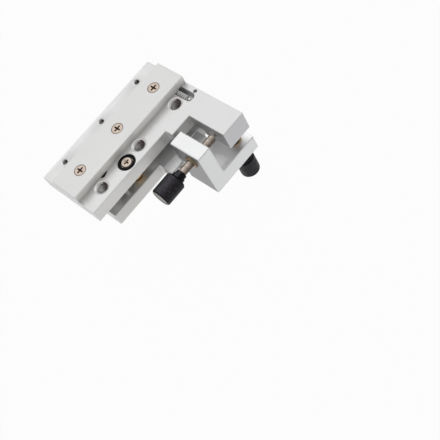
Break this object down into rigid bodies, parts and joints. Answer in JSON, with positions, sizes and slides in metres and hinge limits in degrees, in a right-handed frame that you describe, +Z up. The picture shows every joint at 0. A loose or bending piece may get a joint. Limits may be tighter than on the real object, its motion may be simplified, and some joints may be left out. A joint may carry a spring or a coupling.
{
  "type": "tilt stage",
  "caption": "Two-axis tilt stage: a railed L-shaped plate on a ball pivot over a base plate, with a side bracket, two knurled fine-screw adjusters and return springs.",
  "frame": {"origin": "The centre of the base plate's underside at its basic width, where the stage bolts down. The bracket's lower arm and the lower knob hang below it, beside the surface that the base plate is fixed to.", "axes": "+X runs along the plates towards the end with the arm, +Z is up out of the tilting plate, and the two adjusters are on the -Y side."},
  "size_m": [0.073, 0.0616, 0.0484],
  "materials": {
    "plate_aluminium": "satin, finely machined, clear anodised",
    "bracket_aluminium": "satin, finely machined, clear anodised",
    "bar_aluminium": "satin top with brighter milled sides",
    "nickel_screw": "warm nickel plating, dark cross recess",
    "steel": "bright turned steel",
    "spring_steel": "drawn wire",
    "brass": "turned brass",
    "black_knob": "black anodised, knurled",
    "rubber": "matt moulded rubber"
  },
  "bodies": {
    "base": {"base_plate": "plate_aluminium", "bracket": "bracket_aluminium", "bracket_cap_screw": "steel", "bracket_dowel_1": "steel", "bracket_dowel_2": "steel", "pivot_screw": "nickel_screw", "support_pad": "steel", "stop_pin": "steel", "spring_post": "steel", "pitch_spring": "spring_steel", "yaw_bushing": "brass", "pitch_bushing": "brass"},
    "ball_frame": {"pivot_ball": "brass", "support_ball": "steel"},
    "stage_top": {"tilt_plate": "plate_aluminium", "rail_bar": "bar_aluminium", "bar_screw_1": "nickel_screw", "bar_screw_2": "nickel_screw", "bar_screw_3": "nickel_screw", "pivot_ring": "rubber", "yaw_press_pad": "steel", "pitch_press_pad": "steel", "spring_pin": "steel", "yaw_spring": "spring_steel"},
    "yaw_tip": {"yaw_tip_ball": "steel"},
    "yaw_adjuster": {"yaw_screw": "steel", "yaw_knob": "black_knob"},
    "pitch_tip": {"pitch_tip_ball": "steel"},
    "pitch_adjuster": {"pitch_screw": "steel", "pitch_knob": "black_knob"}
  },
  "joints": [
    {"name": "stage_yaw", "type": "hinge", "parent": "base", "child": "ball_frame", "pos_m": [-0.0122, -0.0119, 0.00945], "axis": [0, 0, 1], "range_deg": [-2, 2]},
    {"name": "stage_pitch", "type": "hinge", "parent": "ball_frame", "child": "stage_top", "pos_m": [-0.0122, -0.0119, 0.00945], "axis": [0, -1, 0], "range_deg": [-2, 2]},
    {"name": "yaw_advance", "type": "slide", "parent": "base", "child": "yaw_tip", "axis": [1, 0, 0], "range_m": [-0.00078, 0.00078]},
    {"name": "yaw_knob_turn", "type": "hinge", "parent": "yaw_tip", "child": "yaw_adjuster", "pos_m": [0.0053, -0.0339, 0.0124], "axis": [1, 0, 0], "range_deg": [-556, 556]},
    {"name": "pitch_advance", "type": "slide", "parent": "base", "child": "pitch_tip", "axis": [0, 0, 1], "range_m": [-0.0014, 0.0014]},
    {"name": "pitch_knob_turn", "type": "hinge", "parent": "pitch_tip", "child": "pitch_adjuster", "pos_m": [0.02775, -0.0348, -0.0083], "axis": [0, 0, 1], "range_deg": [-1008, 1008]}
  ],
  "couplings": [
    {"joint": "yaw_advance", "follows": "stage_yaw", "m_per_rad": 0.022},
    {"joint": "yaw_knob_turn", "follows": "stage_yaw", "ratio": 276.46},
    {"joint": "pitch_advance", "follows": "stage_pitch", "m_per_rad": 0.03995},
    {"joint": "pitch_knob_turn", "follows": "stage_pitch", "ratio": 502.03}
  ]
}
